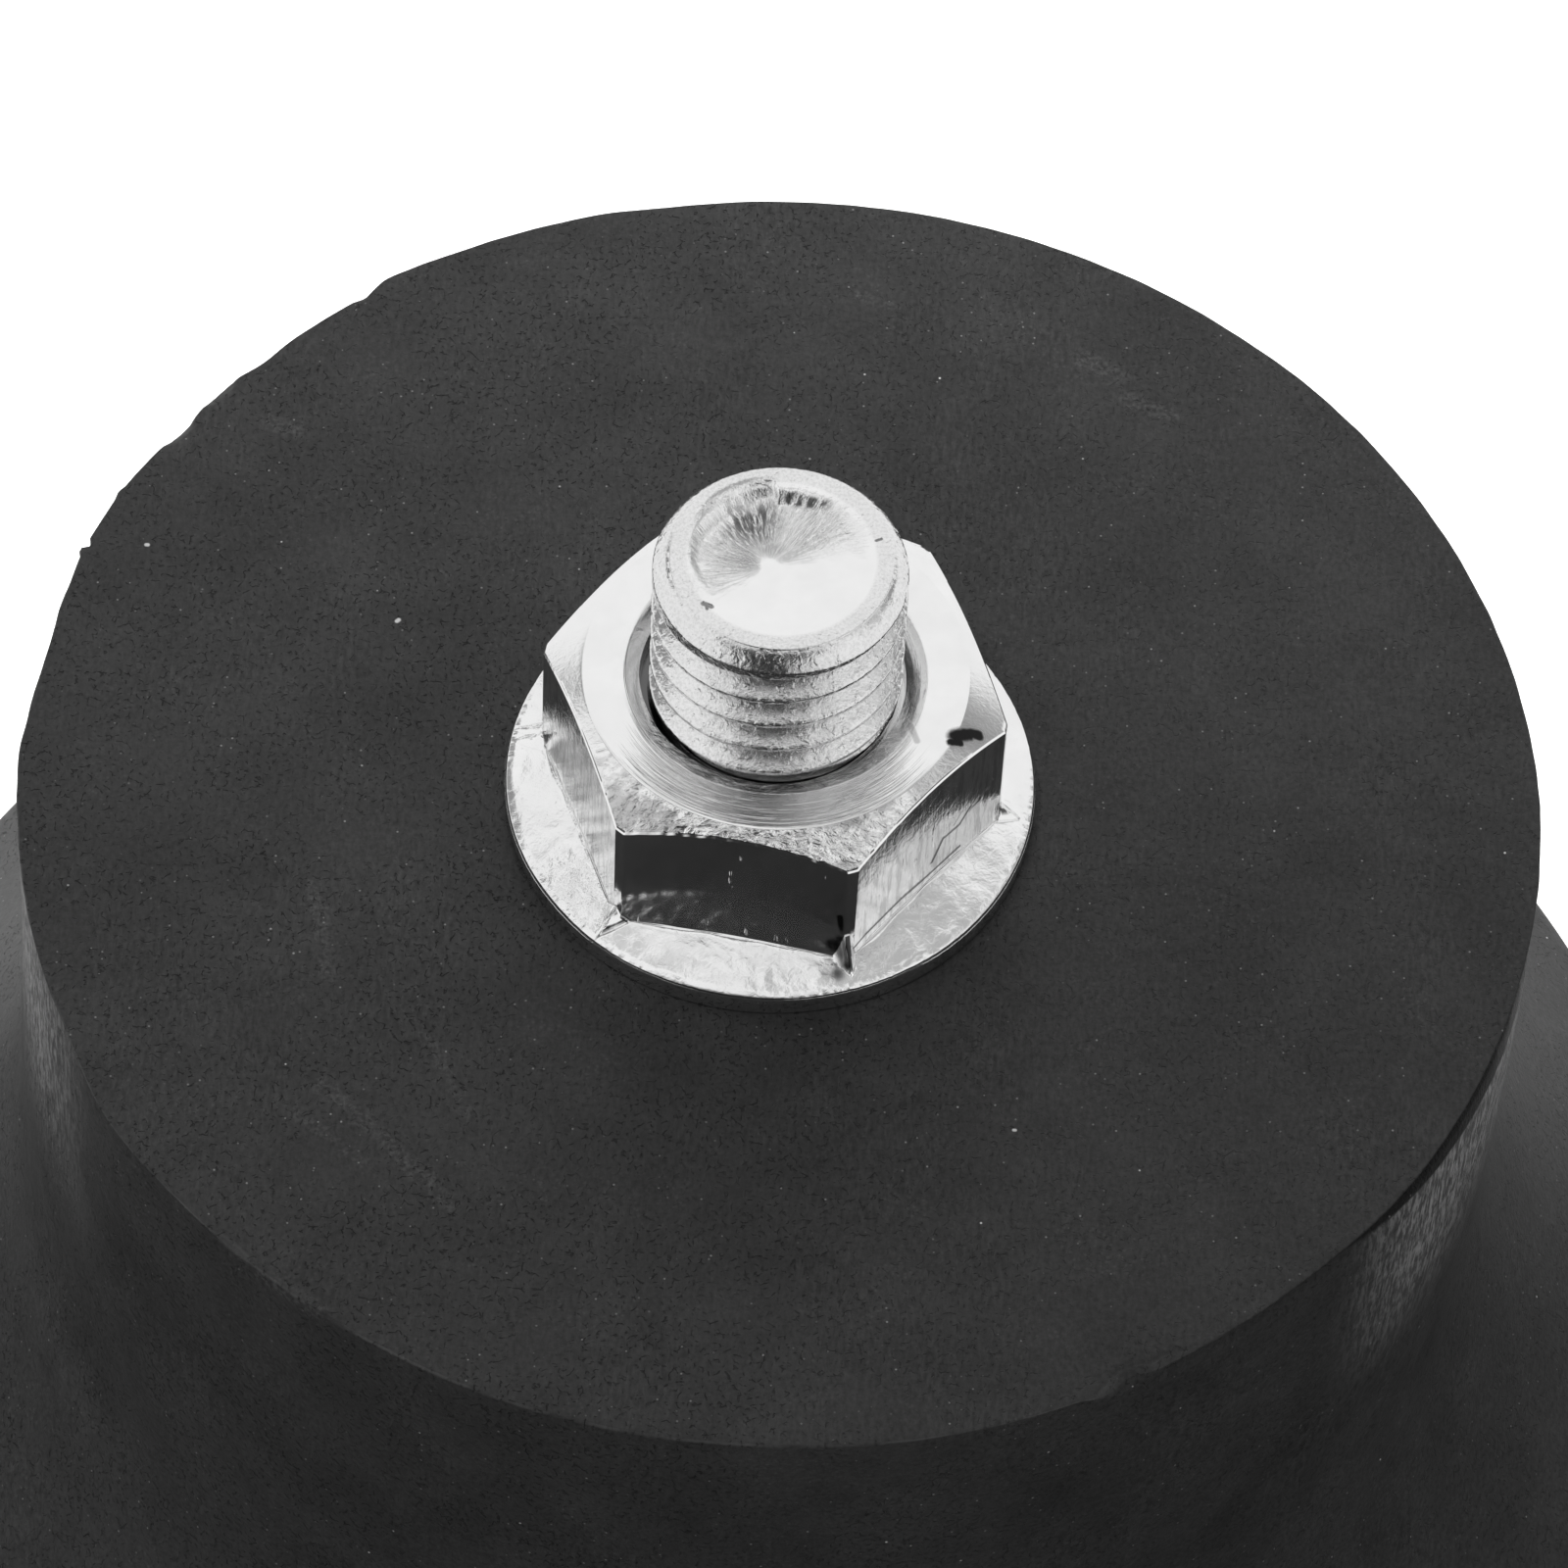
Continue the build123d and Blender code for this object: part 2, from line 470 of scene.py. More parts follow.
def rubberMove(radius, angle, height):
    r = rubber
    if radius < r["shankRadius"] + 0.1 or (height < seatLevel - 0.01 and radius < r["plateRadius"] + 0.1):
        return radius, angle, height  # the pocket and the middle of the underside
    drop = seatLevel - height
    proud = radius - r["neckRadius"]
    if drop < r["upperRows"] and proud > -r["innerRows"]:
        # the rounded edge takes its own radius at each angle
        edge = between(angle, r["edgeByAngle"])
        if drop <= r["edge"] + 1e-4 and proud >= -r["edge"] - 1e-4:
            drop *= edge / r["edge"]
            proud *= edge / r["edge"]
        elif drop > r["edge"]:
            drop = edge + (drop - r["edge"]) * (r["upperRows"] - edge) / (r["upperRows"] - r["edge"])
        else:
            proud = -edge + (proud + r["edge"]) * (r["innerRows"] - edge) / (r["innerRows"] - r["edge"])
    upper = 1 - ramp(drop, *r["strayFade"])
    outer = ramp(radius, r["strayStart"], r["neckRadius"])
    stray = r["seatShift"] * math.cos(math.radians(angle)) + between(angle, r["strayByAngle"])
    shift = upper * outer * (stray + r["strayNoise"] * wobble(angle, 0.2 * drop, 30, 2))
    reachDown, reachIn = r["trimmed"]
    if drop < reachDown and proud > -reachIn:
        groove = between(angle, r["grooveByAngle"]) * (1 + r["grooveUneven"] * wobble(angle, 0, 14, 9))
        groove *= ramp(drop, r["grooveTop"], r["grooveTop"] + r["grooveSetIn"])
        shift -= groove * (1 - ramp(drop, 0.5 * r["grooveFoot"], r["grooveFoot"]))
        for middle, half, size in r["lips"]:
            along = math.radians(turned(angle, middle)) * r["neckRadius"] / half
            if abs(along) < 1:
                fade = (1 - ramp(drop, *r["lipFade"])) * ramp(proud, -r["lipWidth"], 0)
                shift += size * (1 - along * along) * fade
        for middle, half, depth, lean in r["cuts"]:
            along = math.radians(turned(angle, middle)) * r["neckRadius"] / half
            if abs(along) < 1:
                cut = depth * (1 - along * along)
                cosine, sine = polar(1, lean)
                extra = proud * cosine - drop * sine + cut
                if extra > 0:
                    proud -= extra * cosine
                    drop += extra * sine
    return r["neckRadius"] + proud + shift, angle, seatLevel - drop


def onSeatStrokes(strokes):
    return [((*start, seatLevel), (*end, seatLevel), width) for start, end, width in strokes]


def rubberMaterial():
    r = rubber
    material, shader = newMaterial("blackRubber")
    coordinates = node("ShaderNodeTexCoord").outputs
    place = coordinates["Object"]
    x, y, height = xyz(place)
    _, _, facingUp = xyz(coordinates["Normal"])
    onSeat = smoothMm(height, seatLevel - 0.12, seatLevel - 0.02)
    patches = noiseAt(place, 6, 4, 0.6)
    mottle = noiseAt(place, 1.8, 5, 0.62)
    grain = noiseAt(place, 0.16, 3, 0.65)
    fibres = noiseAt(stretched(place, (2.6, 1.0, 2.6), (0, 0, 0.12)), 0.4, 3, 0.6)
    # short cracks in patches, fainter to the right
    bent = bentAt(place, 2.6, 0.5)
    crackLines = cellsAt(bent, 0.36, "DISTANCE_TO_EDGE").outputs["Distance"]
    crackBreaks = smooth(noiseAt(place, 0.2, 2, 0.6), 0.52, 0.59)
    crackPlace = vectorMaths("ADD", place, (20 * mm, 0, 0))
    crackPatches = smooth(noiseAt(crackPlace, 4, 3, 0.6), 0.3, 0.56)
    cracks = times(smooth(crackLines, 0.08, 0.0), crackBreaks, crackPatches, smoothMm(x, -4, 12, 1.0, 0.55))
    # patches of short torn strands that run from front to back
    strands = noiseAt(stretched(place, (3.2, 0.9, 1.0), (0, 0, -0.1)), 0.5, 3, 0.65, 0.4)
    strandPatches = smooth(noiseAt(stretched(place, (1.4, 0.7, 1)), 5, 4, 0.65), 0.48, 0.62)
    dots = cellsAt(place, 0.2)
    dotPlace = vectorMaths("ADD", place, (0, 30 * mm, 0))
    dotPatches = smooth(noiseAt(dotPlace, 3.2, 4, 0.65), 0.46, 0.64)
    dotMask = times(smooth(dots.outputs["Distance"], 0.36, 0.1), dotPatches)
    fineSpecks = specksAt(place, 0.34, 0.13, 0.62, 0.14)
    specks = plus(fineSpecks, specksAt(place, 0.8, 0.06, 0.82, 0.5))
    crumbs = marksAt(place, onSeatStrokes(r["crumbs"]))
    scratches = marksAt(bent, onSeatStrokes(r["scratches"]))
    smears = times(marksAt(bent, onSeatStrokes(r["smears"])), smooth(grain, 0.4, 0.65))
    # a painted highlight along the seat's rounded edge, and painted shade in the groove under it where the
    # highlight ends
    rightFront = dot(place, (0.91, -0.41, 0.0))
    edgeHighlight = times(smooth(facingUp, 0.3, 0.6), smooth(facingUp, 0.98, 0.9),
                     smoothMm(height, seatLevel - 0.4, seatLevel - 0.2),
                     smooth(noiseAt(place, 2.4, 3, 0.6), 0.36, 0.56),
                     smoothMm(rightFront, 21.5, 19.5))
    grooveReach = smoothMm(y, -21, -2, 0.1 * mm, 2.6 * mm)
    groove = times(smoothMm(rightFront, 21, 22.2), smoothMm(y, 0, -9),
                   smoothMm(plus(height, grooveReach), seatLevel - 0.1, seatLevel + 0.05),
                   smoothMm(height, seatLevel - 0.01, seatLevel - 0.05))
    # a streaky band on the neck's sides: real streaks, lightened by a painted sheen where light grazes the
    # sides
    side = smoothMm(most(times(x, -1.0), plus(x, 2.2 * mm)), 20.2, 23.4)
    neck = times(smoothMm(height, seatLevel - 12, seatLevel - 3), inverse(onSeat))
    streaks = noiseAt(stretched(place, (1, 1, 0.14)), 0.14, 4, 0.65)
    crust = plus(streaks, noiseAt(stretched(place, (1, 1, 0.4)), 0.26, 4, 0.7))
    worn = times(side, neck, smooth(crust, 0.88, 1.18, 0.15, 1.0), inverse(groove), smoothMm(y, 9, -1))
    # a painted sheen makes the flare paler behind the neck
    flareSheen = times(smoothMm(y, -1, 11), smoothMm(height, 25, 9), smoothMm(x, 5, 25, 1.0, 0.65))
    shade = plus(spread(mottle, -0.1, 0.1), spread(grain, -0.18, 0.18))
    shade = plus(1.0, shade, spread(fibres, -0.16, 0.16), times(dotMask, 0.4),
                 times(strandPatches, straight(strands, 0.35, 0.65, -0.16, 0.22)))
    level = times(spread(patches, *r["levels"]), shade)
    # painted shade darkens the groove under the rim at the right front
    level = darkened(level, (groove, r["grooveShadeShare"]))
    # the painted highlight and painted sheens lighten the rubber here, with the pale smears
    level = plus(level, times(edgeHighlight, r["edgeHighlightLevel"]), times(worn, r["streakSheenLevel"]),
                 times(smears, r["smearLevel"]), times(flareSheen, r["flareSheenLevel"]))
    level = darkened(level, (cracks, r["crackShare"]), (scratches, r["scratchShare"]))
    level = plus(level, specks, times(crumbs, r["crumbLevel"]))
    normal = bumped(
        None,
        (mottle, 0.04),
        (fibres, 0.016),
        (grain, 0.012),
        (most(cracks, scratches), -0.04),
        (times(strands, strandPatches), 0.018),
        (times(crust, side, neck), 0.06),
    )
    shader.inputs["Specular IOR Level"].default_value = r["gloss"]
    dress(shader, most(level, r["darkest"]), spread(mottle, *r["roughness"]), normal)
    return material


bm = spun(rubberOutline(), rubber["steps"])
reshape(bm, rubberMove)
rubberPiece = asPiece(bm, "rubberBody", "rubber_body", 60)
rubberPiece.data.materials.append(rubberMaterial())
print("rubber body ready")


# Flanged nut

nut = {
    "acrossFlats": 12.8,
    "cornerRadius": 7.296,
    "flangeRadius": 8.368,
    "edgeHeight": 0.84,
    "edgeRound": 0.16,
    "footRound": 0.1,
    "slope": 13.0,
    "footFillet": 0.2,
    # the ridges in which the corners run out over the flange: angle, tip's radius, half width, height
    "ridges": [
        (-7.8, 7.95, 0.36, 0.6),
        (51.7, 8.1, 0.4, 0.6),
        (111.7, 8.1, 0.4, 0.6),
        (170.2, 8.3, 0.3, 0.3),
        (173.2, 8.2, 0.3, 0.4),
        (-128.9, 8.2, 0.45, 0.6),
        (-68.9, 7.95, 0.3, 1.6),
    ],
    "ridgeRoot": 7.2,
    "ridgeCrest": (0.04, 0.05),  # half the crest's width at the tip, and how much wider it is at the root
    "faceRadius": 6.0,
    "faceRound": 0.08,
    "chamfer": 35.0,
    "mouthRadius": 4.7,
    "mouthFall": 0.36,
    "mouthRound": 0.08,
    "throatByAngle": [
        (-180, 4.23), (-155, 4.15), (-125, 4.06), (-105, 4.03), (-40, 4.03), (0, 4.05), (90, 4.14),
    ],
    "throatDepth": 0.9,
    "boreRadius": 3.64,
    "turn": -8.3,
    "steps": 720,
    # stains on the face and the chamfer: start, end and half width
    "stains": [
        ((4.2, -1.72, 38.6), (4.45, -2.38, 38.6), 0.14),
        ((4.62, -0.4, 38.6), (4.25, -1.75, 38.6), 0.07),
    ],
    # dark flakes on the face and the chamfer at the right
    "flakes": [
        ((5.6, -2.12, 38.58), (6.05, -1.86, 38.39), 0.34),
        ((6.05, -1.8, 38.38), (6.38, -1.74, 38.2), 0.27),
        ((5.5, -2.34, 38.56), (5.8, -2.26, 38.48), 0.2),
    ],
    # a painted dark reflection beside the ridge of the corner in front at the right
    "darkReflection": [
        ((2.37, -6.8, 35.3), (2.45, -6.95, 34.3), 0.14),
        ((2.4, -6.95, 34.1), (2.62, -7.3, 33.3), 0.3),
        ((2.25, -6.75, 33.8), (2.4, -7.4, 33.2), 0.42),
    ],
    # cracks and a lap on the flat at the right: start, end and half width
    "cracks": [
        ((5.14, -3.82, 34.2), (5.45, -3.43, 35.0), 0.08),
        ((5.45, -3.35, 34.95), (5.93, -2.81, 34.89), 0.1),
        ((5.93, -2.81, 34.89), (6.26, -2.4, 35.35), 0.08),
        ((5.72, -3.0, 35.15), (6.1, -2.52, 35.75), 0.06),
        ((2.74, -6.86, 33.42), (3.21, -6.27, 33.64), 0.07),
        ((3.21, -6.27, 33.64), (4.24, -4.96, 33.76), 0.09),
        ((4.24, -4.96, 33.76), (4.94, -4.07, 33.66), 0.1),
        ((4.94, -4.07, 33.66), (5.99, -2.74, 33.61), 0.08),
    ],
    "crumple": (-5.6, -4.7, 33.4),  # the middle of a crumpled patch on the flange
    "satin": 6.0,  # the radius out to which the top shows lathe rings
    "rimInset": 0.03,  # how far the flange keeps inside its radius
    # how far the flange's rim, its edge, that edge's jags and the cone over it stray
    "rimSway": 0.02,
    "edgeSway": 0.03,
    "jags": (0.03, 0.02),
    "coneSway": (0.035, 0.012),
    "bevel": 0.05,  # between the flats and the chamfer
    "bevelSway": 0.04,
    # the shares of the plating's grey level that dark marks, painted shade and a painted reflection take
    # away
    "stainShare": 0.35,
    "flakeShare": 0.97,
    "crackShare": 0.8,
    "throatShadeShare": 0.85,
    "darkReflectionShare": 0.9,
    "frontBlotShare": 0.4,
    "dragShare": 0.3,
    # what the flange, its right side, the chamfer, face and flakes add to the roughness
    "flangeRough": 0.06,
    "rightRough": 0.12,
    "chamferRough": 0.04,
    "faceRough": 0.06,
    "flakeRough": 0.4,
    # how many rows of faces each stretch of the outline has
    "rows": {
        "seat": 4, "lowerEdge": 3, "wall": 2, "upperEdge": 4, "cone": 18, "foot": 5, "flat": 10,
        "shoulder": 2, "chamfer": 10, "faceEdge": 3, "face": 6, "mouthEdge": 3, "mouth": 6, "throat": 3,
        "step": 1, "bore": 1,
    },
}


def cornerTurn(angle):
    # degrees from the nearest corner of the hexagon, from -30 to 30
    return (angle - nut["turn"] + 30) % 60 - 30


def crowded(angle):
    # crowds the columns of faces towards the corners
    off = cornerTurn(angle)
    return angle - off + off * (0.3 + 0.7 * (abs(off) / 30) ** 1.5)


def ridgeHeight(radius, angle):
    # how far the highest ridge stands over the flange's cone
    highest = 0
    for middle, tip, half, size in nut["ridges"]:
        off = turned(angle, middle)
        if abs(off) < 20:
            t = min(1, max(0, (tip - radius) / (tip - nut["ridgeRoot"])))
            crest = nut["ridgeCrest"][0] + nut["ridgeCrest"][1] * t
            side = max(0, abs(math.sin(math.radians(off))) * radius - crest) / (half * t ** 0.8 + 0.01)
            highest = max(highest, size * t ** 1.2 * max(0, 1 - side) ** 1.4)
    return highest


def nutProfile(angle):
    # the nut's outline at one angle, from the bore's foot outwards, up and back in
    n = nut
    off = cornerTurn(angle)
    sharp = n["acrossFlats"] / 2 / math.cos(math.radians(30 - abs(off)))
    body = min(sharp, n["cornerRadius"])
    rim = n["flangeRadius"] - n["rimInset"] + n["rimSway"] * wobble(angle, 0, 2.5, 3)
    edgeTop = seatLevel + n["edgeHeight"] + n["edgeSway"] * wobble(angle, 0, 2.0, 4)
    jagged = n["jags"][0] * wobble(angle, 0, 34, 7) + n["jags"][1] * wobble(angle, 0, 70, 6)
    rise = math.tan(math.radians(n["slope"]))
    chamferRise = math.tan(math.radians(n["chamfer"]))

    def coneHeight(radius):
        spot = Vector((*polar(radius, angle), 3))
        sway = n["coneSway"][0] * noise.noise(spot * 0.7) + n["coneSway"][1] * noise.noise(spot * 2.6)
        cone = edgeTop + (rim - radius) * rise + sway * ramp(rim - radius, 0.1, 0.5)
        return cone + ridgeHeight(radius, angle) + jagged * (1 - ramp(rim - radius, 0.1, 0.35))

    fillet = n["footFillet"] * (1 + 0.8 * wobble(angle, 0, 7.0, 5)) * (0.2 + 0.8 * ramp(abs(off), 1.5, 8))
    foot = body + fillet
    footLevel = coneHeight(foot)
    # the edge over the front flats is ragged between the corners
    inFront = ramp(-math.sin(math.radians(angle)), 0.5, 0.85)
    ragged = n["bevelSway"] * wobble(angle, 0, 26, 8) * inFront * ramp(abs(off), 1, 5)
    shoulder = nutTop - (body - n["faceRadius"]) * chamferRise + ragged
    edgeRound, footRound, faceRound, bevel = n["edgeRound"], n["footRound"], n["faceRound"], n["bevel"]
    throat = between(angle, n["throatByAngle"])
    mouthSlope = math.degrees(math.atan2(n["mouthFall"], n["mouthRadius"] - throat))
    faceBack = faceRound * math.tan(math.radians(n["chamfer"] / 2))
    mouthBack = n["mouthRound"] * math.tan(math.radians(mouthSlope / 2))
    mouthFoot = nutTop - n["mouthFall"]
    throatFoot = nutTop - n["throatDepth"]
    coneStart = rim - edgeRound
    rows = n["rows"]
    steps = rows["cone"]
    cone = [coneStart + (foot - rim + edgeRound) * i / steps for i in range(steps + 1)]
    chamferFoot = (body - bevel, shoulder + bevel * chamferRise)
    out, down = polar(faceBack, n["chamfer"])
    chamferTop = (n["faceRadius"] + out, nutTop - down)
    faceEnds = (n["faceRadius"] - faceBack, nutTop), (n["mouthRadius"] + mouthBack, nutTop)
    mouthTop = (n["mouthRadius"] - mouthBack * 0.7, nutTop - mouthBack * 0.5)
    upperMiddle = (coneStart, edgeTop - edgeRound + jagged)
    faceMiddle = (n["faceRadius"] - faceBack, nutTop - faceRound)
    stretches = [
        line((n["boreRadius"], seatLevel), (rim - footRound, seatLevel), rows["seat"]),
        arc((rim - footRound, seatLevel + footRound), footRound, -90, 0, rows["lowerEdge"]),
        line((rim, seatLevel + footRound), (rim, upperMiddle[1]), rows["wall"]),
        arc(upperMiddle, edgeRound, 0, 90 - n["slope"], rows["upperEdge"]),
        [(radius, coneHeight(radius)) for radius in cone],
        arc((foot, footLevel + fillet), fillet, 270, 180, rows["foot"]),
        line((body, footLevel + fillet), (body, shoulder - bevel), rows["flat"]),
        line((body, shoulder - bevel), chamferFoot, rows["shoulder"]),
        line(chamferFoot, chamferTop, rows["chamfer"]),
        arc(faceMiddle, faceRound, 90 - n["chamfer"], 90, rows["faceEdge"]),
        line(*faceEnds, rows["face"]),
        line(faceEnds[1], mouthTop, rows["mouthEdge"]),
        line(mouthTop, (throat, mouthFoot), rows["mouth"]),
        line((throat, mouthFoot), (throat, throatFoot), rows["throat"]),
        [(throat, throatFoot), (n["boreRadius"], throatFoot), (n["boreRadius"], seatLevel)],
    ]
    # each further stretch goes on from the last point before it, so its own first point is left out
    return stretches[0][:1] + [point for stretch in stretches for point in stretch[1:]]


nutProfiles = {}


def nutMove(radius, angle, height):
    # the rows were spun as a plain tube, whose heights are row numbers
    key = round(angle, 3)
    if key not in nutProfiles:
        nutProfiles[key] = (crowded(angle), nutProfile(crowded(angle)))
    angle, profile = nutProfiles[key]
    radius, height = profile[round(height)]
    return radius, angle, height


zinc = {
    "levels": (0.86, 0.92),
    "nutRough": 0.1,
    "studRough": 0.13,
    "rippleDepth": 0.004,
}


def zincBase(name):
    # bright plating: the material's parts, its grey level and its fine ripple
    material, shader = newMaterial(name)
    coordinates = node("ShaderNodeTexCoord").outputs
    cloud = noiseAt(coordinates["Object"], 1.6, 4, 0.6)
    ripple = noiseAt(coordinates["Object"], 0.45, 3, 0.55, 0.6)
    shader.inputs["Metallic"].default_value = 1.0
    normal = bumped(None, (ripple, zinc["rippleDepth"]))
    return material, shader, coordinates, spread(cloud, *zinc["levels"]), normal


def nutMaterial():
    n = nut
    material, shader, coordinates, level, normal = zincBase("zincNut")
    place = coordinates["Object"]
    x, y, z = xyz(place)
    facingRight, _, facingUp = xyz(coordinates["Normal"])
    radius = flatRadius(place)
    front = smooth(maths("DIVIDE", y, radius), -0.35, -0.8)
    left = smooth(facingRight, -0.5, -0.8)
    right = smooth(facingRight, 0.5, 0.7)
    sides = plus(left, right)
    upright = smooth(maths("ABSOLUTE", facingUp), 0.3, 0.15)
    high = smoothMm(z, seatLevel + 3, seatLevel + 3.6)
    low = smoothMm(z, seatLevel + 2.2, seatLevel + 1.7)
    sloped = times(smooth(facingUp, 0.6, 0.72), smooth(facingUp, 0.96, 0.9), high)
    onFlange = times(low, smooth(facingUp, 0.5, 0.8))
    onTop = times(smooth(facingUp, 0.97, 0.99), high)
    onRings = times(smooth(facingUp, 0.78, 0.84), high,
                    smoothMm(radius, n["satin"] + 0.02, n["satin"] - 0.08))
    # painted shade down in the throat, in the gap round the stud, stronger at the left
    throat = times(smoothMm(radius, 4.32, 4.24), smoothMm(x, 0, -3.4, 0.3, 1.0),
                   smoothMm(z, nutTop - 0.34, nutTop - 0.5))
    fromCrumple = vectorMaths("DISTANCE", place, [v * mm for v in n["crumple"]], "Value")
    crumple = smoothMm(fromCrumple, 1.9, 0.8)
    grain = noiseAt(place, 0.09, 3, 0.65)
    sand = noiseAt(place, 0.24, 2, 0.5, 0.8)
    waves = noiseAt(place, 1.1, 2, 0.5, 0.4)
    folds = noiseAt(place, 0.55, 4, 0.6, 0.8)
    sheared = noiseAt(stretched(place, (1, 1.7, 1), (0, 0, 0.6)), 0.42, 4, 0.56, 0.8)
    blots = noiseAt(place, 1.3, 4, 0.62, 0.5)
    brushed = noiseAt(stretched(place, (1, 1, 0.05)), 0.08, 3, 0.6)
    dragged = noiseAt(stretched(place, (1, 1, 0.14)), 0.2, 4, 0.65)
    scored = smooth(noiseAt(stretched(place, (1, 1, 0.16)), 0.22, 2, 0.5), 0.66, 0.74)
    ringPlace = node("ShaderNodeCombineXYZ", {"X": radius, "Z": times(x, 0.03)}).outputs["Vector"]
    rings = noiseAt(ringPlace, 0.16, 3, 0.65)
    stains = marksAt(place, n["stains"])
    flakes = marksAt(bentAt(place, 3.5, 0.15, 0.075), n["flakes"])
    cracks = marksAt(place, n["cracks"])
    # a painted reflection of the dark rubber on the corner's rounding
    darkReflection = marksAt(place, n["darkReflection"])
    # darker blots on the chamfer in front
    frontBlots = times(smooth(blots, 0.46, 0.6), sloped, front)
    drags = times(upright, sides, smooth(dragged, 0.45, 0.62))
    level = darkened(
        level,
        (stains, n["stainShare"]),
        (flakes, n["flakeShare"]),
        (cracks, n["crackShare"]),
        (throat, n["throatShadeShare"]),
        (darkReflection, n["darkReflectionShare"]),
        (frontBlots, n["frontBlotShare"]),
        (drags, n["dragShare"]),
    )
    rough = plus(zinc["nutRough"], times(onFlange, n["flangeRough"]),
                 times(onFlange, right, n["rightRough"]), times(sloped, n["chamferRough"]),
                 times(onTop, n["faceRough"]), times(flakes, n["flakeRough"]))
    normal = bumped(
        normal,
        (times(waves, onFlange, plus(0.25, times(front, 0.75))), 0.08),
        (times(sand, onFlange), 0.012),
        (times(folds, crumple, onFlange), 0.12),
        (times(grain, plus(0.1, onFlange, sloped)), 0.004),
        (times(sheared, sloped, plus(0.06, front)), 0.12),
        (times(folds, upright, sides), 0.014),
        (times(brushed, upright, plus(0.3, sides)), 0.004),
        (times(dragged, upright, sides), 0.008),
        (times(scored, upright), 0.012),
        (times(rings, onRings, plus(0.4, front)), 0.03),
        (cracks, -0.07),
    )
    dress(shader, level, rough, normal)
    return material


rowCount = sum(nut["rows"].values()) + 1
bm = spun([(20, row) for row in range(rowCount)], nut["steps"])
reshape(bm, nutMove)
bmesh.ops.remove_doubles(bm, verts=bm.verts, dist=1e-6)
nutPiece = asPiece(bm, "flangeNut", "flange_nut", 26)
nutPiece.data.materials.append(nutMaterial())
print("nut ready")


# Threaded stud

stud = {
    "crestRadius": 3.935,
    "pitch": 1.25,
    "crestHeight": 43.58,  # of the last crest at the front
    # the thread's form, in pitches from the crest's middle
    "crestFlat": 0.045,
    "flankStart": 0.08,
    "rootStart": 0.354,
    "flankAngle": 60.0,
    "runOut": (-270.0, -225.0),  # where the last turn's groove fades, in degrees before the front
    "endRadius": 3.44,
    "bevelLength": 0.62,
    "endRound": 0.04,
    "neckedRadius": 3.6,  # inside the nut
    "shankRadius": 3.594,
    "headRadius": 7.194,
    "steps": 368,
    "rowsPerPitch": 36,
    "footGap": 0.08,  # how far the free thread starts over the nut's throat
    "crestInset": 0.006,  # how far the crest keeps inside its radius
    "crestSway": 0.012,
    "roughness": (0.012, 0.008),  # of the thread's surface, finer and coarser
    "bevelPower": 0.7,
    "bevelSway": 0.012,
    "endRows": (24, 16),  # rings on the end face, outside and inside the next radius
    "ringsMeet": 2.3,
    # the cup's wall at each angle: the radii of its top and its foot
    "cupTop": [
        (-180, 2.9), (-158, 2.82), (-138, 2.84), (-85, 2.86), (-30, 2.9), (20, 2.88), (46, 2.8), (70, 2.76),
        (94, 2.74), (98.5, 3.2), (112, 3.26), (132, 3.24), (151, 3.12), (168, 2.98),
    ],
    "cupFoot": [
        (-180, 2.5), (-158, 2.3), (-138, 2.2), (-85, 2.1), (-30, 2.1), (20, 2.1), (46, 2.2), (70, 2.25),
        (94, 2.3), (98.5, 2.5), (112, 2.5), (132, 2.5), (151, 2.5), (168, 2.5),
    ],
    "cupDepth": 0.17,
    "cupLeast": 0.03,
    "cupTilt": 0.06,  # how much deeper each millimetre towards the next angle
    "tiltAngle": 128.0,
    "dimple": (-0.65, 0.62, 1.7, 0.42),  # X, Y, radius and depth
    "streakMiddle": (-0.39, 0.2),
    "fanAngle": 118.0,
    "dullSector": (-1.1, 1.95, 1.35),  # X, Y and radius
    "dullPatch": [((0.15, 2.42, 44.2), (1.35, 2.3, 44.2), 0.26)],
    "pits": [
        ((-2.3, -1.85, 44.4), (-2.05, -1.95, 44.4), 0.1),
        ((-2.2, -1.95, 44.4), (-2.18, -2.05, 44.4), 0.06),
        ((2.85, 0.88, 44.4), (3.0, 0.95, 44.4), 0.06),
    ],
    # the shares of the plating's grey level that dark marks take away
    "pitShare": 0.7,
    "dullShare": 0.85,
    "wornShares": (0.08, 0.12),  # of the thread, all over and in its grain
    "frontRough": 0.08,  # what the thread's front adds to the roughness
}


def threadFall(away):
    # how far the thread lies below its crest, both in pitches
    s = stud
    slope = math.tan(math.radians(s["flankAngle"]))
    rounding = s["flankStart"] - s["crestFlat"]
    if away < s["crestFlat"]:
        return 0
    if away < s["flankStart"]:
        return slope * (away - s["crestFlat"]) ** 2 / (2 * rounding)
    fall = slope * (rounding / 2 + min(away, s["rootStart"]) - s["flankStart"])
    if away > s["rootStart"]:
        into = away - s["rootStart"]
        fall += slope * (into - into * into / (2 * (0.5 - s["rootStart"])))
    return fall


def threadRadius(angle, height):
    s = stud
    turn = (angle + 270) % 360 - 270  # the run-out lies at the back
    lastCrest = s["crestHeight"] + s["pitch"] * (turn + 90) / 360 + s["crestSway"] * wobble(angle, 0, 9, 6)
    above = (height - lastCrest) / s["pitch"]
    phase = above % 1.0
    fall = s["pitch"] * threadFall(min(phase, 1 - phase))
    if above > 0:
        fall *= 1 - ramp(turn, *s["runOut"])
    finer, coarser = s["roughness"]
    rough = finer * abs(wobble(angle, height * 4, 26, 7)) + coarser * wobble(angle, height * 1.5, 9, 8)
    return s["crestRadius"] - s["crestInset"] - fall - rough * (1 if fall > 0.02 else 0.5)


